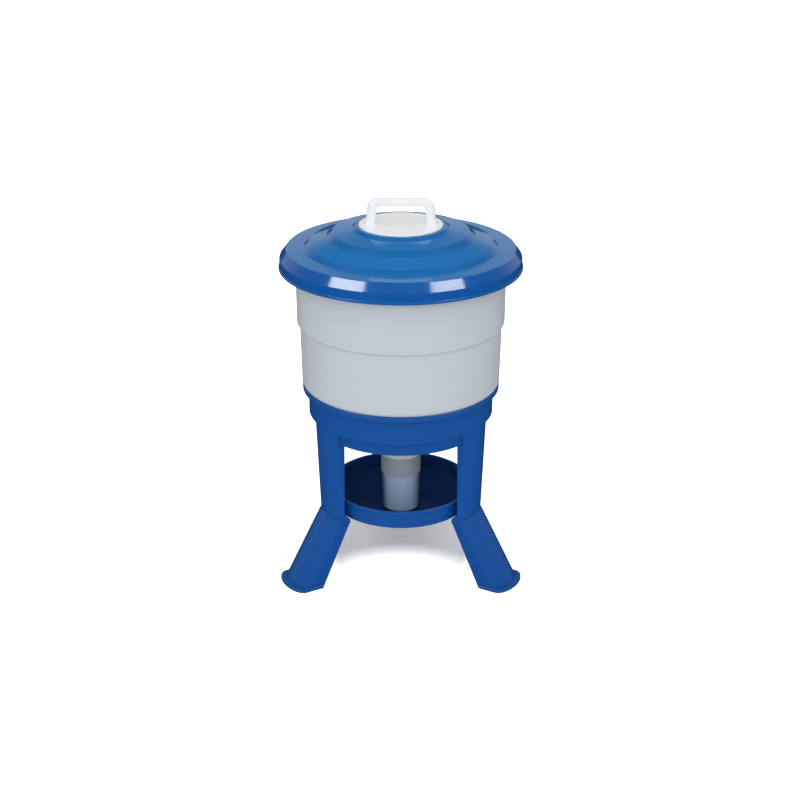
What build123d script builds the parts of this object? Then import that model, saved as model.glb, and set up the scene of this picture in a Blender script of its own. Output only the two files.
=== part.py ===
from build123d import *
import os

# Free-standing gravity feeder on a three-legged stand.
# Frame: origin on the floor, on the vertical axis through the hopper, +Z up.
# One leg points along +Y, the other two stand at 30 degrees below -X and +X,
# and the handle's loop runs along X.  All sizes in millimetres.

os.makedirs("parts", exist_ok=True)

# -------------------------------------------------------- shared dimensions
rim_z = 574.0              # height of the lid's lower edge above the floor
gap = 0.05                 # clearance between touching pieces

tank_seat = rim_z - 219.0  # underside of the hopper's flat seat
outlet_z = rim_z - 293.0   # underside of the hopper's outlet plate
shelf_z = rim_z - 272.0    # underside of the stand ring's middle band
ring_low_z = rim_z - 300.0  # foot of the stand ring
collar_top = rim_z - 308.0
pan_floor = rim_z - 474.0
pan_wall = 3.0
lug_z = rim_z - 444.0      # underside of the pan's lugs, top of the column shelves
lug_top = rim_z - 438.0

spigot_r = 30.0
collar_r = 36.5
tube_r = 35.1
flange_r = 48.0            # gasket and ring nut

leg_angles = {"left": 210.0, "right": 330.0, "rear": 90.0}
bolt_rad = 146.0           # pitch radius of the leg bolts
bolt_r = 3.0
bolt_hole_r = bolt_r + 0.3
hex_r = 5.7                # corner radius of bolt heads and nuts

screw_r = 1.9
screw_head_r = 4.4
screw_head_t = 2.75
screw_tip = 2.0
handle_screw_x = 51.5      # handle screws, distance from the axis
column_screw_y = 13.0      # column screws, distance from the leg's middle plane
column_screw_z = rim_z - 286.0


# ------------------------------------------------------------------ helpers
def save(part, name):
    """Label a part and write its STEP file."""
    part.label = name
    export_step(part, "parts/" + name + ".step")


def rounded_outline(rows, rise=0.0):
    """Draw a closed outline from rows of (across, up, corner radius), lifted by rise."""
    FilletPolyline(
        *[(across, up + rise) for across, up, _ in rows],
        close=True,
        radius=[corner for _, _, corner in rows],
    )


def screw_rows(seat_z, shank_end_z):
    """Half outline of a pan-head screw, head down, with its head bearing on seat_z."""
    head_z = seat_z - screw_head_t
    return [
        (0, head_z, 0), (screw_head_r, head_z, 1.3), (screw_head_r, seat_z, 0),
        (screw_r, seat_z, 0), (screw_r, shank_end_z, 0), (0, shank_end_z + screw_tip, 0),
    ]


def radial_plane(angle):
    """Upright plane through the axis facing out at angle; its local X points up."""
    outwards = Vector(1, 0, 0).rotate(Axis.Z, angle)
    return Plane(origin=(0, 0, 0), x_dir=(0, 0, 1), z_dir=outwards)


# ---------------------------------------------------------------------- lid
# Stepped dome: flat outer annulus, two sloping terraces, each meeting the one
# outside it in a concave riser, and a flat seat in the middle.
lid_r = 215.0              # lid radius over the bead
boss_r = 79.5              # raised seat under the handle plate
lid_under = 70.0           # underside of the middle seat, above rim_z
plate_r = 73.6             # handle plate
recess_top = rim_z + 75.0
recess_depth = 2.0

# radius, height above rim_z, corner radius
lid_rows = [
    # outside, from the axis to the lower edge
    (0, 74.4, 0), (boss_r, 74.4, 1.6), (86.5, 68.8, 3.5), (120, 64.2, 2.6),
    (130.5, 55.2, 3.5), (161.5, 44.2, 2.6), (171.5, 36.2, 4.0), (201, 35.0, 2.2),
    (213, 19.0, 2.6), (213.4, 4.6, 1.0), (lid_r, 3.0, 0.9), (lid_r, 0, 1.1),
    # inside, back to the axis
    (211.2, 0, 1.1), (210.6, 18.1, 1.6), (199.7, 32.3, 1.5), (170.6, 33.6, 3.0),
    (160.2, 41.9, 3.0), (129.2, 52.9, 3.0), (118.9, 61.7, 3.0), (85.4, 66.3, 2.0),
    (80.8, lid_under, 1.5), (0, lid_under, 0),
]
with BuildPart() as lid_shell:
    with BuildSketch(Plane.XZ):
        with BuildLine():
            rounded_outline(lid_rows, rise=rim_z)
        make_face()
    revolve(axis=Axis.Z)
    # locating rib that drops inside the hopper's mouth
    with BuildSketch(Plane.XY.offset(rim_z + 17.0)):
        Circle(178.6)
        Circle(176.4, mode=Mode.SUBTRACT)
    extrude(amount=17.5)
    # shallow recess for the handle plate
    with BuildSketch(Plane.XY.offset(recess_top)):
        Circle(plate_r + 0.5)
    extrude(amount=-recess_depth, mode=Mode.SUBTRACT)
    # two screw holes
    with BuildSketch(Plane.XY.offset(rim_z + 60)):
        with Locations((-handle_screw_x, 0), (handle_screw_x, 0)):
            Circle(2.4)
    extrude(amount=20, mode=Mode.SUBTRACT)
save(lid_shell.part, "lid_shell")

# ------------------------------------------------------------------- handle
plate_z = recess_top - recess_depth + gap
plate_t = 3.0
loop_half = 57.2           # loop, outside half width at the bar
loop_foot = 62.0           # and at the plate
loop_gap = 41.5            # loop, inside half width at the bar
loop_gap_foot = 45.4       # and at the plate
loop_top = rim_z + 121.6
loop_depth = 17.0
loop_bar = 14.4            # height of the bar
bar_under = loop_top - loop_bar

# x, z, corner radius
loop_rows = [
    (-loop_foot, plate_z, 0), (-loop_half, loop_top, 20),
    (loop_half, loop_top, 20), (loop_foot, plate_z, 0),
    (loop_gap_foot, plate_z, 0), (loop_gap, bar_under, 6.5),
    (-loop_gap, bar_under, 6.5), (-loop_gap_foot, plate_z, 0),
]
with BuildPart() as lid_handle:
    with BuildSketch(Plane.XZ.offset(-loop_depth / 2)):
        with BuildLine():
            rounded_outline(loop_rows)
        make_face()
    extrude(amount=loop_depth)
    loop_edges = lid_handle.edges().filter_by(
        lambda edge: abs(abs(edge.center().Y) - loop_depth / 2) < 1e-3
        and edge.center().Z > plate_z + 0.5
    )
    fillet(loop_edges, radius=5.4)
    with BuildSketch(Plane.XY.offset(plate_z)):
        Circle(plate_r)
    extrude(amount=plate_t)
    rim_edge = lid_handle.edges().filter_by(GeomType.CIRCLE).filter_by(
        lambda edge: abs(edge.radius - plate_r) < 1e-3 and edge.center().Z > plate_z + 1
    )
    fillet(rim_edge, radius=1.2)
    # where the loop's legs meet the top of the plate
    foot_edges = lid_handle.edges().filter_by(
        lambda edge: abs(edge.center().Z - (plate_z + plate_t)) < 0.05
        and abs(edge.center().X) < loop_foot + 3
        and edge.length < 60
    )
    fillet(foot_edges, radius=4.5)
    with BuildSketch(Plane.XY.offset(plate_z)):
        with Locations((-handle_screw_x, 0), (handle_screw_x, 0)):
            Circle(screw_r + gap)
    extrude(amount=17, mode=Mode.SUBTRACT)
save(lid_handle.part, "lid_handle")

# pan-head screws up through the lid into the handle's legs
handle_screw_seat = rim_z + lid_under - gap
with BuildPart() as handle_screws:
    with BuildSketch(Plane.XZ):
        with BuildLine():
            rounded_outline(screw_rows(handle_screw_seat, rim_z + 86.6))
        make_face()
    screw = revolve(axis=Axis.Z, mode=Mode.PRIVATE)
    with BuildSketch(Plane.XY.offset(handle_screw_seat - screw_head_t - 0.2)):
        Rectangle(4.6, 0.9)
        Rectangle(0.9, 4.6)
    cross_recess = extrude(amount=1.5, mode=Mode.PRIVATE)
    with Locations((-handle_screw_x, 0), (handle_screw_x, 0)):
        add(screw)
    with Locations((-handle_screw_x, 0), (handle_screw_x, 0)):
        add(cross_recess, mode=Mode.SUBTRACT)
save(handle_screws.part, "handle_screws")

# ------------------------------------------------------------------- hopper
# Round tank: rim under the lid, upper band, small step, lower band, rounded
# foot, flat seat, conical bottom and a flat outlet plate with a round hole.
upper_r = 185.0            # upper band
step_r = 179.6 + 0.5       # lower band at its top
lower_r = 178.0            # lower band at its foot
tank_t = 3.0
tank_rim_z = rim_z + 32.6
seat_top = tank_seat + 3.05
outlet_r = spigot_r + 0.6

# radius, z, corner radius
tank_rows = [
    # outside, downwards
    (190.0, tank_rim_z, 0.8), (190.0, rim_z + 29.0, 0.8), (186.4, rim_z + 27.0, 0),
    (upper_r + 0.6, rim_z + 10, 0), (upper_r, rim_z - 98.0, 1.2),
    (step_r, rim_z - 103.5, 1.4), (lower_r, rim_z - 206.0, 0), (lower_r, tank_seat, 12),
    (158.0, tank_seat, 4), (60.0, outlet_z, 6), (outlet_r, outlet_z, 0),
    # inside, upwards
    (outlet_r, outlet_z + tank_t, 0), (59.0, outlet_z + tank_t, 6), (157.2, seat_top, 4),
    (lower_r - tank_t, seat_top, 9), (lower_r - tank_t, rim_z - 206.0, 0),
    (step_r - tank_t, rim_z - 104.5, 1.5), (upper_r - tank_t, rim_z - 99.0, 1.5),
    (upper_r - tank_t + 0.6, tank_rim_z, 0.8),
]
with BuildPart() as hopper_tank:
    with BuildSketch(Plane.XZ):
        with BuildLine():
            rounded_outline(tank_rows)
        make_face()
    revolve(axis=Axis.Z)
save(hopper_tank.part, "hopper_tank")

# outlet spigot: flange inside the hopper, neck, grooved stem, splines
spigot_bore = 27.0
flange_top = outlet_z + 8.0
flange_under = outlet_z + 5.05
groove_top = rim_z - 316.4
groove_low = rim_z - 318.6
groove_r = 28.6
stem_end = rim_z - 376.0   # start of the chamfer at the stem's lower end
with BuildPart() as outlet_spigot:
    with BuildSketch(Plane.XZ):
        with BuildLine():
            Polyline(
                (spigot_bore, flange_top), (52.0, flange_top), (52.0, flange_under),
                (spigot_r, flange_under), (spigot_r, groove_top), (groove_r, groove_top),
                (groove_r, groove_low), (spigot_r, groove_low), (spigot_r, stem_end),
                (28.5, stem_end - 2.0), (spigot_bore, stem_end - 2.0), close=True,
            )
        make_face()
    revolve(axis=Axis.Z)
    # two splines that keep the feed tube from turning
    with BuildSketch(Plane.XY.offset(stem_end)):
        with PolarLocations(spigot_r + 0.5, 2):
            Rectangle(3.2, 6.0)
    extrude(amount=54.0)
save(outlet_spigot.part, "outlet_spigot")

# gasket between the outlet plate and the spigot's flange
with BuildPart() as spigot_gasket:
    with BuildSketch(Plane.XY.offset(outlet_z + tank_t + 0.02)):
        Circle(flange_r)
        Circle(spigot_r + 0.3, mode=Mode.SUBTRACT)
    extrude(amount=2.0)
    outer_edges = spigot_gasket.edges().filter_by(
        lambda edge: edge.geom_type == GeomType.CIRCLE and abs(edge.radius - flange_r) < 1e-3
    )
    fillet(outer_edges, radius=0.6)
save(spigot_gasket.part, "spigot_gasket")

# ring nut under the outlet plate, with eight scallops round its edge and a
# long skirt that covers the head of the dosing collar
nut_t = 12.0
skirt_r = 38.3
skirt_end = rim_z - 359.5
with BuildPart() as spigot_nut:
    with BuildSketch(Plane.XY.offset(outlet_z - nut_t)):
        Circle(flange_r)
        with PolarLocations(49.6, 8):
            Circle(5.0, mode=Mode.SUBTRACT)
    extrude(amount=nut_t - 0.02)
    fillet(spigot_nut.faces().sort_by(Axis.Z)[0].outer_wire().edges(), radius=0.8)
    with BuildSketch(Plane.XY.offset(skirt_end)):
        Circle(skirt_r)
    extrude(amount=outlet_z - 10.0 - skirt_end)
    fillet(spigot_nut.faces().sort_by(Axis.Z)[0].edges(), radius=0.7)
    # room for the collar, then the bore for the spigot
    with BuildSketch(Plane.XY.offset(skirt_end)):
        Circle(collar_r + 0.12)
    extrude(amount=collar_top + 0.4 - skirt_end, mode=Mode.SUBTRACT)
    with BuildSketch(Plane.XY.offset(skirt_end)):
        Circle(spigot_r + gap)
    extrude(amount=90, mode=Mode.SUBTRACT)
save(spigot_nut.part, "spigot_nut")

# ------------------------------------------------------------ dosing collar
# Captive sleeve: an inward lip turns on the spigot between the ring nut and
# the clip, the skirt below it drives the feed tube up and down.
collar_bore = tube_r + 0.06
collar_end = rim_z - 397.0
lip_bore = spigot_r + 0.06
lip_under = rim_z - 316.0
clip_room_r = spigot_r + 3.4
clip_room_low = rim_z - 322.5

# radius, z, corner radius
collar_rows = [
    (lip_bore, collar_top, 0), (collar_r, collar_top, 0.8),
    (collar_r, collar_end, 0.6), (collar_bore, collar_end, 0),
    (collar_bore, clip_room_low, 0), (clip_room_r, clip_room_low, 0),
    (clip_room_r, lip_under, 0), (lip_bore, lip_under, 0),
]
with BuildPart() as dosing_collar:
    with BuildSketch(Plane.XZ):
        with BuildLine():
            rounded_outline(collar_rows)
        make_face()
    revolve(axis=Axis.Z)
save(dosing_collar.part, "dosing_collar")

# open spring clip in the spigot's groove
with BuildPart() as collar_clip:
    with BuildSketch(Plane.XY.offset(groove_low + 0.2)):
        Circle(33.0)
        Circle(groove_r + gap, mode=Mode.SUBTRACT)
        with Locations((0, -31)):
            Rectangle(14, 12, mode=Mode.SUBTRACT)
    extrude(amount=1.8)
save(collar_clip.part, "collar_clip")

# ---------------------------------------------------------------- feed tube
tube_bore = 32.4
tube_top = rim_z - 338.0
tube_end = rim_z - 467.0
tube_taper = 0.9           # loss of radius at the lower end
tube_lip_bore = spigot_r + 0.5
tube_lip_t = 4.0

# radius, z, corner radius
tube_rows = [
    (tube_r, tube_top, 0.4), (tube_r, rim_z - 402.0, 0),
    (tube_r - tube_taper, tube_end, 0.9), (tube_bore - tube_taper, tube_end, 0.5),
    (tube_bore, rim_z - 420.0, 0), (tube_bore, tube_top - tube_lip_t, 0),
    (tube_lip_bore, tube_top - tube_lip_t, 0), (tube_lip_bore, tube_top, 0),
]
with BuildPart() as feed_tube:
    with BuildSketch(Plane.XZ):
        with BuildLine():
            rounded_outline(tube_rows)
        make_face()
    revolve(axis=Axis.Z)
    # notches for the spigot's splines
    with BuildSketch(Plane.XY.offset(tube_top - tube_lip_t - 1.0)):
        with PolarLocations(spigot_r + 0.8, 2):
            Rectangle(4.2, 6.5)
    extrude(amount=tube_lip_t + 2.0, mode=Mode.SUBTRACT)
save(feed_tube.part, "feed_tube")

# --------------------------------------------------------------- stand ring
# Rolled lip with an inner ledge for the hopper's seat, middle band, shelf and
# narrower lower skirt.
ring_t = 3.0
lip_r = 177.5
lip_in = 172.8
lip_top = rim_z - 216.0
lip_low = rim_z - 226.0
ledge_in = 160.5
ledge_top = tank_seat - gap
ledge_low = rim_z - 222.4
band_r = 167.0
band_in = band_r - ring_t
ring_low_r = 151.5         # lower skirt at the shelf

# radius, z, corner radius
ring_rows = [
    (lip_r, lip_top, 2.3), (lip_r, lip_low, 1.2), (band_r, lip_low, 1.0),
    (band_r, shelf_z, 1.2), (ring_low_r, shelf_z, 0),
    (ring_low_r - 1.3, ring_low_z, 1.6), (ring_low_r - 4.3, ring_low_z, 1.2),
    (ring_low_r - 3.2, shelf_z + ring_t, 2.5), (band_in, shelf_z + ring_t, 2.5),
    (band_in, ledge_low, 2.0), (ledge_in, ledge_low, 0.5), (ledge_in, ledge_top, 0.5),
    (lip_in, ledge_top, 0), (lip_in, lip_top, 2.3),
]
with BuildPart() as stand_ring:
    with BuildSketch(Plane.XZ):
        with BuildLine():
            rounded_outline(ring_rows)
        make_face()
    revolve(axis=Axis.Z)
    # screw holes for the columns
    for angle in leg_angles.values():
        with BuildSketch(radial_plane(angle)):
            with Locations((column_screw_z, -column_screw_y), (column_screw_z, column_screw_y)):
                Circle(2.3)
        extrude(amount=160, mode=Mode.SUBTRACT)
save(stand_ring.part, "stand_ring")

# --------------------------------------------------------- columns and feet
# Every leg is a channel open towards the axis: straight flanks and a rounded
# back.  The column hangs from the ring's shelf; the foot meets it on a sloping
# mitre.  One leg is built along +X and turned to each leg angle.
leg_half = 38.5            # half width of a column
leg_back = 21.5            # depth of a leg's rounded back
leg_t = 3.2
overlap = 0.6              # how far inner plates reach into the channel's wall
leg_plate_t = 3.5          # column shelf and foot's bolt plate
bolt_boss_r = 7.0

knee_out = (159.8, rim_z - 445.2)   # mitre between column and foot, outer point
knee_in = (130.0, rim_z - 458.0)    # and inner point
mitre_dir = Vector(knee_out[0] - knee_in[0], 0, knee_out[1] - knee_in[1]).normalized()
mitre_up = Vector(-mitre_dir.Z, 0, mitre_dir.X)
mitre = Plane(origin=(knee_in[0], 0, knee_in[1]), x_dir=mitre_dir, z_dir=mitre_up)
mitre_gap = 0.02           # on each side of the mitre


def leg_section(z, base, apex, half, inset=0.0):
    """Closed level profile: straight flanks from x = base, elliptic back out to x = apex.

    The inset draws in the back and the flanks, but not the base.
    """
    back = leg_back - inset
    half = half - inset
    shoulder = apex - inset - back
    with BuildSketch(Plane.XY.offset(z)) as profile:
        with BuildLine():
            EllipticalCenterArc((shoulder, 0), back, half, start_angle=-90, arc_size=180)
            Polyline((shoulder, half), (base, half), (base, -half), (shoulder, -half))
        make_face()
    return profile.sketch


def loft_sections(upper, lower, mode=Mode.ADD):
    """Straight-sided loft between two leg sections."""
    add(upper)
    add(lower)
    loft(ruled=True, mode=mode)


col_top = shelf_z - gap
col_low = rim_z - 480.0
col_apex_top = 167.0       # back of the column under the ring's shelf
col_apex_low = 158.3       # and at the level of col_low
col_base = 126.0
col_void_base = 120.0
with BuildPart() as column_shell:
    loft_sections(
        leg_section(col_top, col_base, col_apex_top, leg_half),
        leg_section(col_low, col_base, col_apex_low, leg_half),
    )
    # open channel
    loft_sections(
        leg_section(col_top + 1, col_void_base, col_apex_top, leg_half, leg_t),
        leg_section(col_low - 1, col_void_base, col_apex_low, leg_half, leg_t),
        mode=Mode.SUBTRACT,
    )

# the room inside the channel, reaching a little into its wall
with BuildPart() as column_inside:
    loft_sections(
        leg_section(col_top, col_void_base, col_apex_top, leg_half, leg_t - overlap),
        leg_section(col_low, col_void_base, col_apex_low, leg_half, leg_t - overlap),
    )

# block between the ring's skirt and the back of the channel
block_z = rim_z - 297.0
with BuildPart() as column_block:
    with BuildSketch(Plane.XY.offset(block_z)):
        with Locations((158.0, 0)):
            Rectangle(13.0, 44)
    extrude(amount=col_top - block_z)
    add(column_inside.part, mode=Mode.INTERSECT)

# shelf with a boss for the leg bolt
with BuildPart() as column_shelf:
    with BuildSketch(Plane.XY.offset(lug_z - leg_plate_t)):
        with Locations((148.0, 0)):
            Rectangle(26.0, 90)
    extrude(amount=leg_plate_t)
    with BuildSketch(Plane.XY.offset(rim_z - 470.0)):
        with Locations((bolt_rad, 0)):
            Circle(bolt_boss_r)
    extrude(amount=24.0)
    add(column_inside.part, mode=Mode.INTERSECT)

# side view of the cut that leaves the column's open edges: x, z, corner radius
column_cut_rows = [
    (110, col_top + 2, 0), (137.0, col_top + 2, 0), (139.5, rim_z - 439.0, 6),
    (128.0, rim_z - 450.5, 3), (128.0, col_low - 2, 0), (110, col_low - 2, 0),
]
with BuildPart() as column_full:
    add(column_shell.part)
    add(column_block.part)
    add(column_shelf.part)
    # straight open edges
    with BuildSketch(Plane.XZ.offset(-60)):
        with BuildLine():
            rounded_outline(column_cut_rows)
        make_face()
    extrude(amount=120, mode=Mode.SUBTRACT)
    # seat round the outside and under the edge of the ring's lower skirt
    with BuildSketch(Plane.XY.offset(ring_low_z - gap)):
        Circle(ring_low_r + 0.15)
    extrude(amount=60, mode=Mode.SUBTRACT)
    # screw pilots and bolt hole
    with BuildSketch(radial_plane(0)):
        with Locations((column_screw_z, -column_screw_y), (column_screw_z, column_screw_y)):
            Circle(screw_r + gap)
    extrude(amount=161.5, mode=Mode.SUBTRACT)
    with BuildSketch(Plane.XY.offset(col_low)):
        with Locations((bolt_rad, 0)):
            Circle(bolt_hole_r)
    extrude(amount=60, mode=Mode.SUBTRACT)
    # mitre at the knee
    split(bisect_by=mitre.offset(mitre_gap), keep=Keep.TOP)

foot_slope_out = 0.584     # outward run of the foot's back per unit of height
foot_slope_in = 0.49       # outward run of its open edges per unit of height
foot_hi = rim_z - 425.0
foot_half_hi = leg_half + 0.1
foot_half_low = leg_half + 3.0
foot_back_extra = 0.6      # added thickness of the foot's sloping back
void_reach = 8.0           # how far the cut runs past the open edges
foot_plate_z = rim_z - 463.0
pad_t = 5.8                # floor pad
pad_half = 44.0
pad_in = 188.0
pad_out = 243.8


def foot_out(z):
    return knee_out[0] + 0.3 + foot_slope_out * (knee_out[1] - z)


def foot_in(z):
    return knee_in[0] + foot_slope_in * (knee_in[1] - z)


def foot_section(z, half, base_shift=0.0, apex_shift=0.0, inset=0.0):
    """Leg section on the foot's slopes, its base and apex shifted outwards."""
    return leg_section(z, foot_in(z) + base_shift, foot_out(z) + apex_shift, half, inset)


with BuildPart() as foot_shell:
    loft_sections(foot_section(foot_hi, foot_half_hi), foot_section(0.0, foot_half_low))
    # open channel
    loft_sections(
        foot_section(foot_hi + 2, foot_half_hi, -void_reach, -foot_back_extra, leg_t),
        foot_section(-2.0, foot_half_low, -void_reach, -foot_back_extra, leg_t),
        mode=Mode.SUBTRACT,
    )

# the room inside the foot, reaching a little into its wall
with BuildPart() as foot_inside:
    loft_sections(
        foot_section(foot_hi, foot_half_hi, 1.5, -foot_back_extra, leg_t - overlap),
        foot_section(0.0, foot_half_low, 1.5, -foot_back_extra, leg_t - overlap),
    )

# bolt plate and boss
with BuildPart() as foot_plate:
    with BuildSketch(Plane.XY.offset(foot_plate_z)):
        with Locations((153.0, 0)):
            Rectangle(50.0, 90)
    extrude(amount=leg_plate_t)
    with BuildSketch(Plane.XY.offset(rim_z - 460.5)):
        with Locations((bolt_rad, 0)):
            Circle(bolt_boss_r)
    extrude(amount=20.0)
    add(foot_inside.part, mode=Mode.INTERSECT)

# floor pad with a rounded upper edge, open in the middle like the leg
with BuildPart() as foot_pad:
    add(leg_section(0.0, pad_in, pad_out, pad_half))
    extrude(amount=pad_t)
    pad_edges = foot_pad.faces().sort_by(Axis.Z)[-1].edges().filter_by(
        lambda edge: edge.center().X > pad_in + 1
    )
    fillet(pad_edges, radius=2.6)
    add(leg_section(
        -1.0, foot_in(0) - void_reach, foot_out(0) + overlap, foot_half_low + overlap, leg_t
    ))
    extrude(amount=12, mode=Mode.SUBTRACT)

with BuildPart() as foot_full:
    add(foot_shell.part)
    add(foot_plate.part)
    add(foot_pad.part)
    with BuildSketch(Plane.XY.offset(col_low)):
        with Locations((bolt_rad, 0)):
            Circle(bolt_hole_r)
    extrude(amount=60, mode=Mode.SUBTRACT)
    split(bisect_by=mitre.offset(-mitre_gap), keep=Keep.BOTTOM)

for side, angle in leg_angles.items():
    for piece, full in (("column_", column_full), ("foot_", foot_full)):
        with BuildPart() as turned:
            add(full.part, rotation=(0, 0, angle))
        save(turned.part, piece + side)

# ---------------------------------------------------------- leg fasteners
# two screws per column, from inside the ring's skirt outwards
# distance from the axis, screw radius, corner radius
column_screw_rows = [
    (143.6, 0, 0), (143.6, 4.2, 1.3), (146.45, 4.2, 0),
    (146.45, screw_r, 0), (160.0, screw_r, 0), (161.3, 0, 0),
]
with BuildPart() as column_screws:
    with BuildSketch(Plane.XZ):
        with BuildLine():
            rounded_outline(column_screw_rows)
        make_face()
    screw = revolve(axis=Axis.X, mode=Mode.PRIVATE)
    for angle in leg_angles.values():
        for y in (-column_screw_y, column_screw_y):
            turn = Location((0, 0, 0), (0, 0, angle))
            add(screw.moved(turn * Location((0, y, column_screw_z))))
save(column_screws.part, "column_screws")

# one bolt and one nut per leg: foot, column and pan lug
with BuildPart() as leg_bolts:
    with BuildSketch(Plane.XY.offset(foot_plate_z - 4.1)):
        with PolarLocations(bolt_rad, 3, start_angle=90):
            RegularPolygon(hex_r, 6)
    extrude(amount=4.0)
    with BuildSketch(Plane.XY.offset(foot_plate_z - 0.2)):
        with PolarLocations(bolt_rad, 3, start_angle=90):
            Circle(bolt_r)
    extrude(amount=32.7)
save(leg_bolts.part, "leg_bolts")

with BuildPart() as leg_nuts:
    with BuildSketch(Plane.XY.offset(lug_top + gap)):
        with PolarLocations(bolt_rad, 3, start_angle=90):
            RegularPolygon(hex_r, 6)
            Circle(bolt_r + gap, mode=Mode.SUBTRACT)
    extrude(amount=5.0)
save(leg_nuts.part, "leg_nuts")

# ----------------------------------------------------------------- feed pan
pan_r = 130.0
pan_bead_r = pan_r + 1.2
pan_rim = rim_z - 420.0

# radius, z, corner radius
pan_rows = [
    (0, pan_floor, 0), (79.5, pan_floor, 14), (121.0, rim_z - 450.6, 9),
    (126.0, pan_rim, 1.6), (pan_bead_r, pan_rim, 1.6), (pan_bead_r, pan_rim - 5.0, 0.5),
    (pan_r, pan_rim - 6.5, 0.5), (pan_r - 0.5, rim_z - 451.5, 1.2),
    (127.3, rim_z - 453.2, 1.2), (80.0, pan_floor - pan_wall, 14),
    (0, pan_floor - pan_wall, 0),
]
# x, y of a lug pointing along +X
lug_points = [(125.0, -18), (139.0, -13), (152.5, -9), (152.5, 9), (139.0, 13), (125.0, 18)]
with BuildPart() as feed_pan:
    with BuildSketch(Plane.XZ):
        with BuildLine():
            rounded_outline(pan_rows)
        make_face()
    revolve(axis=Axis.Z)
    # three lugs that sit on the column shelves
    with BuildSketch(Plane.XY.offset(lug_z + gap)):
        with BuildLine():
            Polyline(*lug_points, close=True)
        make_face()
        with Locations((bolt_rad, 0)):
            Circle(bolt_hole_r, mode=Mode.SUBTRACT)
    lug_solid = extrude(amount=lug_top - lug_z - gap, mode=Mode.PRIVATE)
    with PolarLocations(0, 3, start_angle=90):
        add(lug_solid)
    # screw hole under the centre cone
    with BuildSketch(Plane.XY.offset(pan_floor - 5)):
        Circle(2.3)
    extrude(amount=8, mode=Mode.SUBTRACT)
save(feed_pan.part, "feed_pan")

# cone on the pan's floor that parts the feed, with a blind screw hole below
cone_r = 27.0
cone_bore = screw_r + gap
# radius, height above pan_floor, corner radius
cone_rows = [
    (cone_bore, 0.02, 0), (cone_r, 0.02, 0), (cone_r, 2.0, 1.0), (6.0, 24.0, 5.0),
    (0, 24.0, 0), (0, 16.0, 0), (cone_bore, 16.0, 0),
]
with BuildPart() as spreader_cone:
    with BuildSketch(Plane.XZ):
        with BuildLine():
            rounded_outline(cone_rows, rise=pan_floor)
        make_face()
    revolve(axis=Axis.Z)
save(spreader_cone.part, "spreader_cone")

with BuildPart() as cone_screw:
    with BuildSketch(Plane.XZ):
        with BuildLine():
            rounded_outline(screw_rows(pan_floor - pan_wall - gap, pan_floor + 13.0))
        make_face()
    revolve(axis=Axis.Z)
save(cone_screw.part, "cone_screw")
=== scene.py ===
import math

import bpy
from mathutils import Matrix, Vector

# floor sheet
FLOOR_HALF_WIDTH = 9
FLOOR_FRONT = -6
FLOOR_BACK = 30
FLOOR_DROP = 0.0005  # just under the feet
FLOOR_SHADE_GLOW = 0.07  # glow left where the shade shows

# feed pan bowl
BOWL_RADIUS = 0.1275
BOWL_FADE = 0.003  # the painted bowl shade fades out over this width

# lights and camera
LIGHT_TARGET = Vector((0, 0, 0.45))
CAMERA_PLACE = (0.0, -2.567, 1.399)
CAMERA_DOWN_TILT = 22.69  # degrees below level

WHITE = (1, 1, 1, 1)

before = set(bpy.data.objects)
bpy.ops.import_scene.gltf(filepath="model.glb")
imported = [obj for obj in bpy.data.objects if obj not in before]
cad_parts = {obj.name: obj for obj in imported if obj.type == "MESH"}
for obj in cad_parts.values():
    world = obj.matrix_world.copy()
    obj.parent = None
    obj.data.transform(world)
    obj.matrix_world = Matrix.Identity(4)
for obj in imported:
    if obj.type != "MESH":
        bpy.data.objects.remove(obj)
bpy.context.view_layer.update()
scene = bpy.context.scene


# -------------------------------------------------------------- node helpers
def linear(*srgb):
    """sRGB 0-255 to linear RGBA."""
    channels = [c / 255.0 for c in srgb]
    return (*(c / 12.92 if c <= 0.04045 else ((c + 0.055) / 1.055) ** 2.4 for c in channels), 1.0)


class Graph:
    """Builds nodes in an emptied tree. An input is given a value, or a socket to link from."""

    def __init__(self, tree):
        self.tree = tree
        tree.nodes.clear()

    def feed(self, node, inputs):
        for name, value in inputs.items():
            if isinstance(value, bpy.types.NodeSocket):
                self.tree.links.new(value, node.inputs[name])
            else:
                node.inputs[name].default_value = value

    def add(self, kind, inputs=None, **settings):
        node = self.tree.nodes.new(kind)
        for name, value in settings.items():
            setattr(node, name, value)
        self.feed(node, inputs or {})
        return node

    def noise(self, coords, scale, detail, roughness=0.5):
        inputs = {"Vector": coords, "Scale": scale, "Detail": detail, "Roughness": roughness}
        return self.add("ShaderNodeTexNoise", inputs).outputs["Fac"]

    def map_range(self, value, smooth=False, **limits):
        """Limits are from_min, from_max, to_min and to_max, by default 0 to 1."""
        inputs = {name.replace("_", " ").title(): limit for name, limit in limits.items()}
        inputs["Value"] = value
        kind = "SMOOTHSTEP" if smooth else "LINEAR"
        return self.add("ShaderNodeMapRange", inputs, interpolation_type=kind).outputs["Result"]

    def mix(self, factor, first, second, **settings):
        """Colour mix; sockets 0, 6 and 7 are the factor and the two colours."""
        inputs = {0: factor, 6: first, 7: second}
        return self.add("ShaderNodeMix", inputs, data_type="RGBA", **settings).outputs[2]

    def math(self, operation, *values):
        inputs = dict(enumerate(values))
        return self.add("ShaderNodeMath", inputs, operation=operation).outputs["Value"]

    def vector_math(self, operation, *values):
        return self.add("ShaderNodeVectorMath", dict(enumerate(values)), operation=operation)

    def ramp(self, position, stops):
        """Grey ramp from (position, brightness) stops."""
        node = self.add("ShaderNodeValToRGB", {0: position})
        elements = node.color_ramp.elements
        elements.remove(elements[-1])
        elements[0].position = stops[0][0]
        elements[0].color = (*[stops[0][1]] * 3, 1)
        for place, brightness in stops[1:]:
            elements.new(place).color = (brightness, brightness, brightness, 1)
        return node.outputs["Color"]


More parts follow.
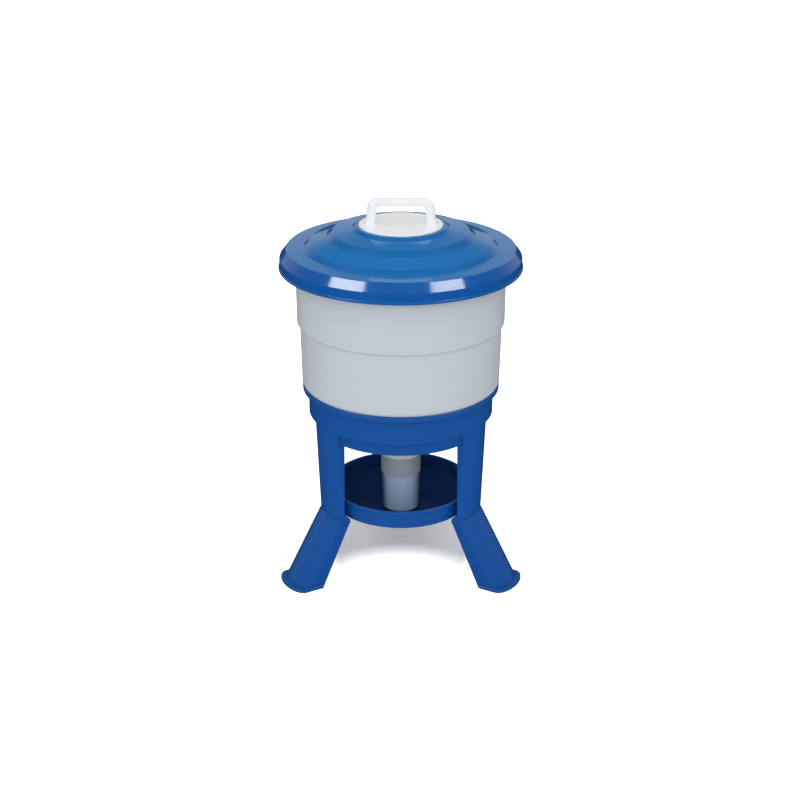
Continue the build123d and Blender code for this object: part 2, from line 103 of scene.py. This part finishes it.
class Material(Graph):
    """A node material with a Principled shader and object coordinates."""

    def __init__(self, name):
        self.data = bpy.data.materials.new(name)
        self.data.use_nodes = True
        super().__init__(self.data.node_tree)
        output = self.add("ShaderNodeOutputMaterial")
        self.shader = self.add("ShaderNodeBsdfPrincipled")
        self.feed(output, {"Surface": self.shader.outputs["BSDF"]})
        self.coords = self.add("ShaderNodeTexCoord").outputs["Object"]

    def surface(self, inputs):
        self.feed(self.shader, inputs)

    def bump(self, height, strength, distance):
        inputs = {"Height": height, "Strength": strength, "Distance": distance}
        return self.add("ShaderNodeBump", inputs)


# ---------------------------------------------------------- moulded plastics
def painted_top_light(mat, normal, colour, lit_top):
    """Painted light: lighten the colour of the faces that look up."""
    up = mat.add("ShaderNodeSeparateXYZ", {"Vector": normal}).outputs["Z"]
    factor = mat.map_range(up, smooth=True, from_min=0.55, from_max=0.97)
    return mat.mix(factor, colour, lit_top)


def painted_bowl_shade(mat, normal, colour, bowl_shade):
    """Painted shade: darken the faces within the bowl that look up or towards the axis."""
    outward = mat.vector_math("MULTIPLY", mat.coords, (1.0, 1.0, 0.0)).outputs["Vector"]
    radius = mat.vector_math("LENGTH", outward).outputs["Value"]
    within = mat.map_range(radius, smooth=True, from_min=BOWL_RADIUS - BOWL_FADE,
                           from_max=BOWL_RADIUS, to_min=1.0, to_max=0.0)
    facing = mat.vector_math("DOT_PRODUCT", outward, normal).outputs["Value"]
    inward = mat.math("LESS_THAN", facing, 0.02)
    return mat.mix(mat.math("MULTIPLY", within, inward), colour, bowl_shade)


def painted_limb_shade(mat, colour, limb_shade):
    """Painted shade: darken the colour where the surface turns away from view."""
    facing = mat.add("ShaderNodeLayerWeight", {"Blend": 0.5}).outputs["Facing"]
    turn = mat.map_range(facing, smooth=True, from_min=0.25, from_max=0.85, to_max=limb_shade)
    return mat.mix(turn, colour, (0.12, 0.16, 0.26, 1.0), blend_type="MULTIPLY")


def worn_roughness(mat, rough, spread, scratch):
    """Patchy roughness, raised by fine scuffs from stretched, thresholded noise."""
    stretched = mat.add("ShaderNodeMapping", {
        "Vector": mat.coords,
        "Scale": (60.0, 60.0, 420.0),
        "Rotation": (0.5, 0.3, 0.2),
    }).outputs["Vector"]
    scuffs = mat.map_range(mat.noise(stretched, scale=1.0, detail=2.0),
                           from_min=0.66, from_max=0.78, to_max=scratch)
    patches = mat.map_range(mat.noise(mat.coords, scale=22.0, detail=4.0, roughness=0.6),
                            from_min=0.3, from_max=0.7,
                            to_min=rough - spread, to_max=rough + spread)
    scuff_strength = 0.25
    return mat.math("MULTIPLY_ADD", scuffs, scuff_strength, patches)


def moulded_bump(mat, grain, wave):
    """Fine grain under a faint flow waviness."""
    fine = mat.noise(mat.coords, scale=625.0, detail=2.0, roughness=0.6)
    broad = mat.noise(mat.coords, scale=14.0, detail=1.0)
    grain_bump = mat.bump(fine, strength=grain, distance=0.0006)
    wave_bump = mat.bump(broad, strength=wave, distance=0.0016)
    mat.feed(wave_bump, {"Normal": grain_bump.outputs["Normal"]})
    return wave_bump.outputs["Normal"]


def moulded(name, base, dark, wear, rough, scratch, wear_amount=0.25, spread=0.04, spec=0.5,
            grain=0.06, wave=0.08, sss=0.0, lit_top=None, bowl_shade=None, limb_shade=0.0):
    """Injection-moulded plastic.

    base, dark: the clouded colours; wear, wear_amount: tint of the convex edges
    rough, spread: roughness and its variation; scratch: strength of the scuffs
    grain, wave: bump strengths; sss: subsurface weight
    top: painted light, a lighter colour for faces that look up; stain: painted shade, a darker
    colour inside the bowl; limb: painted shade towards the edges that turn from view
    """
    mat = Material(name)
    geometry = mat.add("ShaderNodeNewGeometry").outputs
    clouds = mat.map_range(mat.noise(mat.coords, scale=9.0, detail=3.0, roughness=0.55),
                           from_min=0.38, from_max=0.72, to_max=0.35)
    colour = mat.mix(clouds, base, dark)
    if lit_top:
        # painted light: the faces that look up get a lighter colour
        colour = painted_top_light(mat, geometry["Normal"], colour, lit_top)
    if bowl_shade:
        # painted shade: the inside of the bowl gets a darker colour
        colour = painted_bowl_shade(mat, geometry["Normal"], colour, bowl_shade)
    edges = mat.map_range(geometry["Pointiness"],
                          from_min=0.52, from_max=0.62, to_max=wear_amount)
    colour = mat.mix(edges, colour, wear)
    if limb_shade:
        # painted shade: the colour darkens towards the silhouette edges
        colour = painted_limb_shade(mat, colour, limb_shade)
    mat.surface({
        "Base Color": colour,
        "Roughness": worn_roughness(mat, rough, spread, scratch),
        "Normal": moulded_bump(mat, grain, wave),
        "Specular IOR Level": spec,
    })
    if sss:
        mat.surface({
            "Subsurface Weight": sss,
            "Subsurface Radius": (0.6, 0.8, 1.0),
            "Subsurface Scale": 0.004,
        })
    return mat.data


# the lid's top colour is painted light on its up-facing faces
lid_blue = moulded(
    "blue_lid", base=linear(14, 84, 160), dark=linear(10, 78, 152), wear=linear(40, 130, 200),
    wear_amount=0.10, lit_top=linear(20, 116, 186), rough=0.11, spread=0.02, scratch=0.12,
    grain=0.02, wave=0.03)
stand_blue = moulded(
    "blue_stand", base=linear(6, 80, 160), dark=linear(4, 74, 150), wear=linear(24, 104, 184),
    wear_amount=0.15, rough=0.32, spec=0.3, scratch=0.2)
# the pan's bowl colour is painted shade inside the bowl
pan_blue = moulded(
    "blue_pan", base=linear(6, 80, 160), dark=linear(4, 72, 148), wear=linear(30, 110, 190),
    wear_amount=0.2, bowl_shade=linear(8, 44, 96), rough=0.36, spec=0.3, scratch=0.25)
hopper_plastic = moulded(
    "hopper_plastic", base=linear(194, 201, 209), dark=linear(187, 194, 203),
    wear=linear(204, 209, 215), rough=0.45, spec=0.35, sss=0.12, scratch=0.2)
neck_plastic = moulded(
    "neck_plastic", base=linear(214, 222, 224), dark=linear(204, 212, 216),
    wear=linear(226, 230, 232), rough=0.4, spec=0.4, sss=0.08, scratch=0.2)
# the white plastic's top colour is painted light on its up-facing faces
white_plastic = moulded(
    "white_moulded", base=linear(240, 243, 246), dark=linear(233, 237, 241),
    wear=linear(243, 245, 247), lit_top=linear(252, 253, 254), rough=0.28, spec=0.4, sss=0.08,
    scratch=0.2, grain=0.03, wave=0.03)
# the tube's edges get painted shade
tube_grey = moulded(
    "grey_tube", base=linear(165, 190, 222), dark=linear(156, 182, 216),
    wear=linear(180, 196, 216), limb_shade=0.95, rough=0.36, spec=0.4, scratch=0.25)
collar_plastic = moulded(
    "collar_plastic", base=linear(158, 168, 180), dark=linear(148, 158, 170),
    wear=linear(172, 180, 188), rough=0.34, spec=0.5, scratch=0.25)


# ---------------------------------------------------------- steel and rubber
def zinc_steel():
    """Zinc-plated steel with speckled roughness."""
    mat = Material("zinc_steel")
    speckle = mat.noise(mat.coords, scale=400.0, detail=3.0)
    mat.surface({
        "Metallic": 1.0,
        "Base Color": linear(196, 198, 202),
        "Roughness": mat.map_range(speckle, to_min=0.22, to_max=0.45),
        "Normal": mat.bump(speckle, strength=0.15, distance=0.0002).outputs["Normal"],
    })
    return mat.data


def black_rubber():
    mat = Material("rubber_seal")
    grain = mat.noise(mat.coords, scale=900.0, detail=2.0)
    mat.surface({
        "Base Color": linear(28, 28, 30),
        "Roughness": 0.75,
        "Normal": mat.bump(grain, strength=0.2, distance=0.0003).outputs["Normal"],
    })
    return mat.data


steel = zinc_steel()
rubber = black_rubber()

piece_materials = {
    "lid_shell": lid_blue,
    "lid_handle": white_plastic,
    "hopper_tank": hopper_plastic,
    "outlet_spigot": tube_grey,
    "spigot_gasket": rubber,
    "spigot_nut": neck_plastic,
    "dosing_collar": collar_plastic,
    "feed_tube": tube_grey,
    "stand_ring": stand_blue,
    "feed_pan": pan_blue,
    "spreader_cone": pan_blue,
}
for name in ("handle_screws", "collar_clip", "cone_screw", "column_screws", "leg_bolts",
             "leg_nuts"):
    piece_materials[name] = steel
for leg in ("left", "right", "rear"):
    piece_materials["column_" + leg] = stand_blue
    piece_materials["foot_" + leg] = stand_blue

for name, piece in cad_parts.items():
    piece.data.materials.clear()
    piece.data.materials.append(piece_materials[name])


# --------------------------------------------------------------------- floor
def floor_disc(mat, x, y, near, far, low, high):
    """A soft-edged disc on the floor: low within near, high beyond far."""
    centred = mat.add("ShaderNodeMapping", {"Vector": mat.coords, "Location": (-x, -y, 0.0)})
    radius = mat.vector_math("LENGTH", centred.outputs["Vector"]).outputs["Value"]
    return mat.map_range(radius, smooth=True,
                         from_min=near, from_max=far, to_min=low, to_max=high)


def floor_material():
    """Pale floor that glows for the camera, except for the shade between the legs."""
    mat = Material("floor_pale")
    around = floor_disc(mat, x=0.0, y=0.06, near=0.125, far=0.18, low=FLOOR_SHADE_GLOW, high=1.0)
    front = floor_disc(mat, x=0.0, y=-0.15, near=0.11, far=0.20, low=1.0, high=FLOOR_SHADE_GLOW)
    glow = mat.math("MAXIMUM", around, front)
    seen = mat.add("ShaderNodeLightPath").outputs["Is Camera Ray"]
    mat.surface({
        "Base Color": (0.92, 0.92, 0.92, 1),
        "Roughness": 0.9,
        "Specular IOR Level": 0.1,
        "Emission Color": WHITE,
        "Emission Strength": mat.math("MULTIPLY", glow, seen),
    })
    return mat.data


def build_floor():
    mesh = bpy.data.meshes.new("floor")
    corners = [
        (-FLOOR_HALF_WIDTH, FLOOR_FRONT, 0),
        (FLOOR_HALF_WIDTH, FLOOR_FRONT, 0),
        (FLOOR_HALF_WIDTH, FLOOR_BACK, 0),
        (-FLOOR_HALF_WIDTH, FLOOR_BACK, 0),
    ]
    mesh.from_pydata(corners, [], [(0, 1, 2, 3)])
    mesh.materials.append(floor_material())
    floor = bpy.data.objects.new("floor", mesh)
    floor.location.z = -FLOOR_DROP
    floor.visible_glossy = False
    scene.collection.objects.link(floor)


build_floor()

# --------------------------------------------------------------------- world
# Stops are (height, brightness); height is (sin(elevation) + 1) / 2.
BACK_GLOSS = [
    (0.0, 0.02), (0.50, 0.03), (0.535, 0.55), (0.64, 0.55),
    (0.70, 0.26), (0.78, 0.12), (0.92, 0.2), (1.0, 0.15),
]
FRONT_GLOSS = [(0.0, 0.02), (0.42, 0.04), (0.52, 0.07), (0.75, 0.10), (0.93, 0.28), (1.0, 0.15)]
MATTE_LIGHT = [(0.0, 0.7), (0.5, 0.76), (0.8, 0.80), (1.0, 0.80)]


def build_world():
    """A studio: even matte light, a bright low backdrop in the gloss, white to the camera."""
    world = bpy.data.worlds.new("studio")
    scene.world = world
    world.use_nodes = True
    world.cycles.sampling_method = "NONE"
    graph = Graph(world.node_tree)
    generated = graph.add("ShaderNodeTexCoord").outputs["Generated"]
    direction = graph.add("ShaderNodeSeparateXYZ", {0: generated}).outputs
    height = graph.map_range(direction["Z"], from_min=-1.0)

    # reflections: the back ramp takes over towards +Y
    back = graph.ramp(height, BACK_GLOSS)
    front = graph.ramp(height, FRONT_GLOSS)
    backness = graph.map_range(direction["Y"], smooth=True, from_min=-0.1, from_max=0.55)
    gloss = graph.mix(backness, front, back)

    # matte light: a little stronger from above and from the camera's side
    matte = graph.ramp(height, MATTE_LIGHT)
    back_falloff = -0.25
    lean = graph.math("MULTIPLY_ADD", direction["Y"], back_falloff, 1.0)
    leaning = graph.add("ShaderNodeVectorMath", {0: matte, "Scale": lean}, operation="SCALE")

    ray = graph.add("ShaderNodeLightPath").outputs
    light = graph.mix(ray["Is Glossy Ray"], leaning.outputs["Vector"], gloss)
    colour = graph.mix(ray["Is Camera Ray"], light, WHITE)
    background = graph.add("ShaderNodeBackground", {"Color": colour})
    graph.add("ShaderNodeOutputWorld", {"Surface": background.outputs[0]})


build_world()


# ---------------------------------------------------------- lights and camera
def softbox(name, azimuth, elevation, distance, width, height, power):
    """A rectangular light aimed at the target.

    Angles are in degrees; azimuth runs from the camera's side, positive to the right.
    """
    around, above = math.radians(azimuth), math.radians(elevation)
    direction = Vector((
        math.sin(around) * math.cos(above),
        -math.cos(around) * math.cos(above),
        math.sin(above),
    ))
    place = LIGHT_TARGET + direction * distance
    data = bpy.data.lights.new(name, "AREA")
    data.shape = "RECTANGLE"
    data.size, data.size_y = width, height
    data.energy = power
    light = bpy.data.objects.new(name, data)
    light.location = place
    light.rotation_euler = (LIGHT_TARGET - place).to_track_quat("-Z", "Y").to_euler()
    scene.collection.objects.link(light)
    return light


# the keys only make highlights, the fill only lights the matte surfaces
key_left = softbox("key_left", azimuth=-61, elevation=47, distance=2.4,
                   width=1.1, height=0.5, power=25)
key_right = softbox("key_right", azimuth=53, elevation=48, distance=2.4,
                    width=1.0, height=0.45, power=18)
key_left.visible_diffuse = False
key_right.visible_diffuse = False
front_fill = softbox("front_fill", azimuth=-4, elevation=24, distance=3.0,
                     width=1.0, height=0.8, power=17)
front_fill.visible_glossy = False


def build_camera():
    data = bpy.data.cameras.new("camera")
    data.lens = 68.72
    data.sensor_width = 36.0
    data.shift_x = -0.0011
    data.shift_y = -0.0056
    camera = bpy.data.objects.new("camera", data)
    camera.location = CAMERA_PLACE
    camera.rotation_euler = (math.radians(90 - CAMERA_DOWN_TILT), 0, 0)
    scene.collection.objects.link(camera)
    scene.camera = camera


build_camera()
scene.view_settings.view_transform = "Standard"
scene.view_settings.look = "None"
